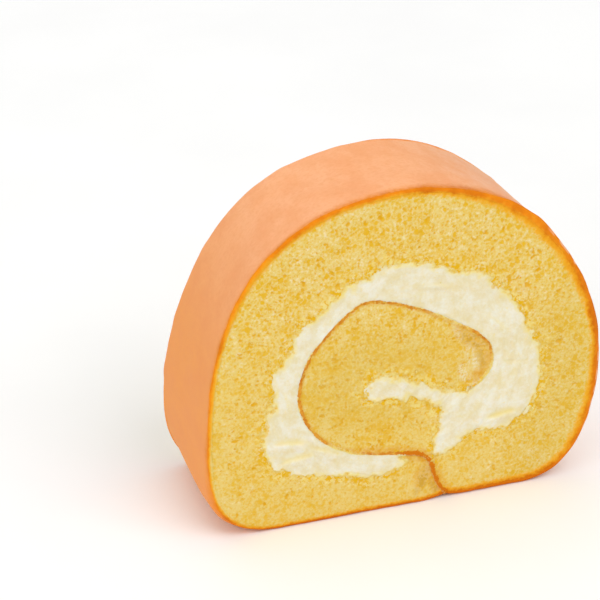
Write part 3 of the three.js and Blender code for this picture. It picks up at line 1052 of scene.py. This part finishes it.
class MakeCrumb(bpy.types.Operator):
    """Make the open crumb of the sponge, with its air holes on both cuts"""

    bl_idname = "cream_roll.make_crumb"
    bl_label = "Make sponge crumb"

    def execute(self, context):
        sizes, colours, plan = settings(context)
        step = sizes.edge_step
        outer = even(plan.outer, step)
        under_skin = sizes.skin_thickness - CRUMB_UNDER_SKIN - CRUMB_AT_SEAM
        outer = moved(outer, CRUMB_AT_SEAM + under_skin * clear_of_ends(outer, 0.0, SKIN_TAPER))
        inner = moved(even(plan.inner, step), CRUMB_UNDER_ROLLED)
        crumb = even(plan.crumb_side, step)
        under_cream = CRUMB_UNDER_CREAM * clear_of_ends(crumb, 0.2, 4.0)
        crumb = relaxed(crumb - relaxed(right_of(crumb), 12, False) * under_cream[:, None], 8, False)
        flap = even(plan.flap_end, step)
        outline = np.concatenate([outer, inner[1:-1], crumb[1:], flap[1:-1]])[::-1]
        rolled = even(plan.inner, MAP_PITCH)
        channel, on_skin = plan.channel(MAP_PITCH)

        def heights(points, side):
            cut = cut_for(plan, side)
            distance, crust, baked = plan.bake(points)
            to_rolled, index = nearest(points, rolled)
            to_cream = nearest(points, channel[~on_skin])[0]
            sunk = CRUMB_SUNK_BY_CREAM * smooth(to_cream, 0.35, 0.9) * is_inside(points, channel)
            height, pores = cut.crumb_height(points, np.minimum(distance, to_rolled + 0.4))
            # A brown line runs along the rolled-in skin, wider at the seam
            seam = 1 - smooth(index * MAP_PITCH, SEAM_LENGTH + 5, SEAM_LENGTH + 15)
            line = (1 - smooth(to_rolled, 0.3, 1.1 + 1.3 * seam)) * (0.75 + 0.2 * seam)
            # The crumb is coarser high up, where it is damp, along the cream and at the right of the core
            x, z = points.T
            moist = patch_strength(points, MOIST)
            near = 1 - smooth(to_cream + 1.6 * read_map(cut.rag, points), 0.3, 3.2)
            coarse = 0.7 + 0.3 * smooth(z, 30, 50) + 0.7 * moist + 0.35 * near
            coarse += 0.28 * smooth(x, 12, 26) * (1 - smooth(z, 32, 46))
            return height - sunk, {
                # The depth of the air holes, which the finish paints as shade
                "pore": pores,
                "lift": read_map(cut.grain, points),
                "crust": crust,
                "baked": baked,
                "stain": np.maximum(line, patch_strength(points, STAINS)),
                "smear": patch_strength(points, CREAM_DRAGS),
                "near_cream": near,
                "coarse": coarse,
                "moist": moist,
                "dull": patch_strength(points, DULL_STAINS),
            }

        mesh = make_layer(plan, outline, (sizes.front_step, sizes.rear_step), heights, outline, (0.5,))
        mesh.finish("sponge_crumb", crumb_finish(colours), "sponge", "sponge")
        return {"FINISHED"}


class MakeOuterSkin(bpy.types.Operator):
    """Make the baked skin round the outside of the slice"""

    bl_idname = "cream_roll.make_outer_skin"
    bl_label = "Make outer skin"

    def execute(self, context):
        sizes, colours, plan = settings(context)
        line, depth = even(plan.outer, SKIN_STEP), plan.depth
        way, ends = way_along(line), clear_of_ends(line, 0.0, SKIN_TAPER)
        thick = SKIN_END + (sizes.skin_thickness - SKIN_END) * ends
        round_off = sizes.edge_round * (EDGE_END_SHARE + (1 - EDGE_END_SHARE) * ends)
        dents, ripple = layered(SKIN_DENTS_SEED, SKIN_DENTS), hills(RIPPLE_SEED, RIPPLE_SIZE)
        over_skin = np.interp(way, BAKE_PLACES, BAKE_OVER_SKIN)
        into_crumb = np.interp(way, BAKE_PLACES, BAKE_INTO_CRUMB)
        lips = np.interp(way, LIP_PLACES, LIP_SIZES)
        bares = np.interp(way, BARE_PLACES, BARE_SHARES)
        crown, low_side, swollen = (
            amount * hump(way, *along) for amount, *along in (DRAWN_IN_CROWN, DRAWN_IN_SIDE, SWOLLEN)
        )

        def unevenness(from_front):
            """How far the outer face is drawn in at a distance from the front cut."""
            spots = np.stack([way, np.full(len(way), float(from_front))], 1)
            near_cut = math.exp(-min(from_front, depth - from_front) / RIM_ZONE)
            ripples = RIPPLE_HEIGHT * near_cut * read_map(ripple, spots * (1, 0.3))
            drawn_in = crown * smooth(from_front, 0, depth) + low_side * smooth(from_front, 10, depth)
            drawn_in -= swollen * hump(from_front, 0.2, 3.0, 8, depth)
            lip = lips * math.exp(-from_front / RIM_ZONE)
            return ends * (read_map(dents, spots) + ripples) - lip + drawn_in

        # Over the outer face from the rear cut to the front one
        rows = []
        rim = np.array(RIM_ROWS)
        middle = np.linspace(FACE_START, depth - FACE_START, FACE_ROWS)
        for from_front in np.concatenate([rim, middle, depth - rim[::-1]])[::-1]:
            baked = -from_front / over_skin
            if from_front >= depth / 2:
                baked = REAR_BAKE_START - (depth - from_front) / BAKE_OVER_REAR
            rows.append((unevenness(from_front), from_front / depth, 0.0, np.maximum(baked, BAKE_END), 0.0))
        # Round the front edge, across the edge of the skin, back inside, and the same at the rear
        edge = []
        for degrees in EDGE_TURNS:
            turn = math.radians(degrees)
            sunk = -round_off * (1 - math.sin(turn))
            edge.append((round_off * (1 - math.cos(turn)), sunk, 1 - degrees / 90))
        edge += [(round_off + (thick - round_off) * share, 0.0, 0.0) for share in EDGE_SHARES]
        for side in (0, 1):
            cut = cut_for(plan, side)
            uneven = unevenness(side * depth)
            for across, sunk, part in edge[::-1] if side else edge:
                spots = moved(line, across)
                lift = read_map(cut.grain, spots)
                height = cut.crumb_height(spots, across)[0] + SKIN_PROUD + sunk
                height += SKIN_GRAIN * lift * smooth(across, 0.1, 0.5)
                bare = bares * smooth(read_map(ripple, spots * 2), -0.8, 0.9) * (part > 0.3)
                if side:
                    bare = BARE_REAR * part
                rows.append((across + uneven * part, side, height, across / into_crumb - bare, lift))
            if side == 0:
                for from_front in (INNER_ROW, depth / 2, depth - INNER_ROW):
                    rows.append((thick, from_front / depth, 0.0, thick / into_crumb, 0.0))

        baked = {"baked": np.interp(way, BAKE_PLACES, BAKE_DARKNESS)}
        mesh = make_sweep(plan, line, rows, ("crust", "lift"), baked, FLAT_OUTER_SKIN)
        mesh.finish("outer_skin", skin_finish(colours), "sponge", "sponge")
        return {"FINISHED"}


class MakeInnerSkin(bpy.types.Operator):
    """Make the baked skin that is rolled into the slice"""

    bl_idname = "cream_roll.make_inner_skin"
    bl_label = "Make rolled-in skin"

    def execute(self, context):
        _, colours, plan = settings(context)
        line = even(plan.inner, ROLLED_STEP)
        way = way_along(line)
        seam = 1 - smooth(way, SEAM_LENGTH - 1.0, SEAM_LENGTH + 1.5)
        by_nose = smooth(way, way[-1] - 26.0, way[-1] - 9.0)
        ragged = read_map(layered(ROLLED_RAG_SEED, ROLLED_RAG), np.stack([way, 0 * way], 1))
        left = -(0.3 + 0.16 * seam) + 0.02 * ragged
        right = 0.72 + 0.3 * seam - 0.14 * by_nose + 0.07 * ragged
        end = 1 - smooth(way[-1] - way, 0.0, 3.5)
        right -= (right - left - 0.15) * end

        rows = [(left, share, 0.0, 0.0) for share in (0.9, 0.5, 0.1)]
        for side in (0, 1):
            cut = cut_for(plan, side)
            for part in ROLLED_PARTS[::-1] if side else ROLLED_PARTS:
                across = left + (right - left) * part
                spots = moved(line, across)
                height = read_map(cut.relief, spots) + 0.05 * read_map(cut.grain, spots)
                rounded = 0.04 - 0.14 * abs(2 * part - 0.9) ** 4
                rows.append((across, side, height + rounded - 0.35 * end, part))
            if side == 0:
                rows += [(right, share, 0.0, 1.0) for share in (0.1, 0.5, 0.9)]

        shows = {"shows": np.interp(way, SKIN_PLACES, SKIN_SHOWS), "seam": seam}
        mesh = make_sweep(plan, line, rows, ("across",), shows, FLAT_ROLLED_SKIN)
        mesh.finish("inner_skin", rolled_skin_finish(colours), "sponge", "sponge")
        return {"FINISHED"}


class MakeCream(bpy.types.Operator):
    """Make the whipped cream, dragged a little over the crumb by the knife"""

    bl_idname = "cream_roll.make_cream"
    bl_label = "Make whipped cream"

    def execute(self, context):
        sizes, colours, plan = settings(context)
        line, on_skin = plan.channel(sizes.edge_step)
        outward = right_of(line, closed=True)
        reach = relaxed(np.where(on_skin, CREAM_OVER_SKIN, sizes.cream_overlap)[:, None], 12)
        outline = relaxed(line + outward * reach, 6)
        wall = relaxed(line - outward * np.where(on_skin, 0.0, CREAM_WALL_GAP)[:, None], 6)
        fine, fine_skin = plan.channel(MAP_PITCH)

        def heights(points, side):
            cut = cut_for(plan, side)
            rag = read_map(cut.rag, points)
            to_crumb = beside(points, fine[~fine_skin], 3.0) + 0.7 * rag
            to_skin = beside(points, fine[fine_skin], 0.5, 2.5)
            full, hollow = cut.cream_height(points)
            cover = np.minimum(smooth(to_crumb, -1.6, 0.1), smooth(to_skin + 0.15 * rag, -0.3, 0.2))
            height = (full + CREAM_PROUD + CREAM_EDGE_SUNK) * cover - CREAM_EDGE_SUNK
            # The fold value holds the hollows of the knife folds, where the finish paints shade
            return height, {"cover": np.minimum(to_crumb, 2.5 * to_skin + 0.4), "fold": hollow}

        steps = sizes.cream_step, 1.4 * sizes.cream_step
        mesh = make_layer(plan, outline, steps, heights, wall, (0.04, 0.5, 0.96))
        mesh.finish("whipped_cream", cream_finish(colours), "cream", "cream")
        return {"FINISHED"}


class MakeLooseCrumbs(bpy.types.Operator):
    """Make the small crumbs that cling to the cuts"""

    bl_idname = "cream_roll.make_loose_crumbs"
    bl_label = "Make loose crumbs"

    def execute(self, context):
        _, colours, plan = settings(context)
        rng = np.random.default_rng(LOOSE_CRUMB_SEED)
        ball = bmesh.new()
        bmesh.ops.create_icosphere(ball, subdivisions=2, radius=1.0)
        shape = np.array([vert.co for vert in ball.verts])
        faces = np.array([[vert.index for vert in face.verts] for face in ball.faces])
        ball.free()
        line, on_skin = plan.channel(MAP_PITCH)
        edge = line[~on_skin]
        mesh = Mesh()
        for number in range(context.scene.cream_roll_sizes.crumb_count):
            side = int(rng.random() < 0.3)
            spot = (edge[rng.integers(len(edge))] + rng.normal(0.0, 1.6, 2))[None]
            radius = 0.14 + 0.24 * rng.random() ** 2
            cut = cut_for(plan, side)
            height = cut.crumb_height(spot, plan.bake(spot)[0])[0][0]
            if is_inside(spot, line)[0]:
                height, radius = cut.cream_height(spot)[0][0] + 0.02, 0.7 * radius
            lumps = 1 + 0.22 * np.sin(shape @ rng.normal(0, 3, 3) + 6 * rng.random())
            lump = shape * lumps[:, None] * radius * rng.uniform(0.75, 1.25, 3)
            place = plan.place(spot, side, height + 0.25 * radius)
            numbers = mesh.add_points(place + lump, lift=rng.normal())
            corner = np.array((number % FLAT_CRUMBS, number // FLAT_CRUMBS)) / FLAT_CRUMBS
            mesh.add_faces(numbers[faces], corner + (shape[faces][:, :, (0, 2)] + 1) / 18)
        mesh.finish("loose_crumbs", loose_crumb_finish(colours), "sponge", "sponge")
        return {"FINISHED"}


# ---- The stage, in metres ----

FLOOR_RADIUS = 1.6
FLOOR_GAP = 0.00005
FLOOR_COLOURS = ("#FFFFFE", "#FCFCFB")
SKY_STRENGTH = 0.47
# Lamps: the place, the width and the power in watts
LAMPS = {
    "key": ((0.60, -1.10, 1.60), 1.4, 15.6),
    "top": ((-0.10, 0.30, 1.90), 1.6, 8.8),
    "fill": ((-1.50, -0.90, 0.90), 1.4, 9.6),
    "back": ((0.00, 1.50, 0.24), 1.0, 3.8),
}
LAMP_AIM = Vector((0, 0, 0.03))
# The camera: its sensor and lens in millimetres, what it looks at, from how far, and how far it stands to
# the left and how high, in degrees
SENSOR = 36.0
LENS = 144.0
CAMERA_AIM = Vector((-0.022755, -0.0155, 0.050883))
CAMERA_DISTANCE = 0.46083
CAMERA_TURN = 19.64
CAMERA_TILT = 27.04


class MakeStage(bpy.types.Operator):
    """Make the pale floor, the soft lights and the camera"""

    bl_idname = "cream_roll.make_stage"
    bl_label = "Make stage"

    def execute(self, context):
        scene = context.scene
        scene.view_settings.view_transform = "Standard"
        scene.view_settings.look = "None"

        def stand(name, data, place, facing=None):
            """Puts something in the scene. A lamp or a camera faces along a direction."""
            thing = bpy.data.objects.new(name, data)
            thing.location = place
            if facing is not None:
                thing.rotation_euler = facing.to_track_quat("-Z", "Y").to_euler()
            scene.collection.objects.link(thing)
            return thing

        disc = bmesh.new()
        bmesh.ops.create_circle(disc, cap_ends=True, segments=96, radius=FLOOR_RADIUS)
        mesh = bpy.data.meshes.new("floor")
        disc.to_mesh(mesh)
        disc.free()
        finish = Finish("pale_floor")
        shade = finish.mix(finish.patches("floor"), *(paint(code) for code in FLOOR_COLOURS))
        mesh.materials.append(finish.surface(shade))
        stand("floor", mesh, (0, 0, -FLOOR_GAP))

        scene.world = bpy.data.worlds.new("studio")
        scene.world.use_nodes = True
        sky = scene.world.node_tree.nodes["Background"].inputs
        sky["Color"].default_value = (1.0, 1.0, 1.0, 1.0)
        sky["Strength"].default_value = SKY_STRENGTH

        for name, (place, size, power) in LAMPS.items():
            light = bpy.data.lights.new(name, "AREA")
            light.shape, light.size, light.energy = "SQUARE", size, power
            stand(name, light, place, LAMP_AIM - Vector(place))

        camera = bpy.data.cameras.new("camera")
        camera.sensor_width, camera.lens = SENSOR, LENS
        camera.clip_start, camera.clip_end = 0.01, 10.0
        turn, tilt = math.radians(CAMERA_TURN), math.radians(CAMERA_TILT)
        back = Vector((-math.sin(turn) * math.cos(tilt), -math.cos(turn) * math.cos(tilt), math.sin(tilt)))
        scene.camera = stand("camera", camera, CAMERA_AIM + back * CAMERA_DISTANCE, -back)
        return {"FINISHED"}


class CreamRollPanel(bpy.types.Panel):
    """Sizes, colours and pieces of the slice"""

    bl_idname = "VIEW3D_PT_cream_roll"
    bl_label = "Cream Roll"
    bl_space_type = "VIEW_3D"
    bl_region_type = "UI"
    bl_category = "Cream Roll"

    def draw(self, context):
        for group in (context.scene.cream_roll_sizes, context.scene.cream_roll_colours):
            box = self.layout.box()
            for key in group.__annotations__:
                box.prop(group, key)
        for operator in OPERATORS:
            self.layout.operator(operator.bl_idname)


OPERATORS = (MakeStage, MakeCrumb, MakeOuterSkin, MakeInnerSkin, MakeCream, MakeLooseCrumbs)
CLASSES = (CreamRollSizes, CreamRollColours, *OPERATORS, CreamRollPanel)


def register():
    for cls in CLASSES:
        bpy.utils.register_class(cls)
    bpy.types.Scene.cream_roll_sizes = PointerProperty(type=CreamRollSizes)
    bpy.types.Scene.cream_roll_colours = PointerProperty(type=CreamRollColours)


def unregister():
    del bpy.types.Scene.cream_roll_colours
    del bpy.types.Scene.cream_roll_sizes
    for cls in reversed(CLASSES):
        bpy.utils.unregister_class(cls)


def main():
    """Registers the add-on and makes every piece."""
    register()
    for operator in OPERATORS:
        group, name = operator.bl_idname.split(".")
        getattr(getattr(bpy.ops, group), name)()


if __name__ == "__main__":
    main()
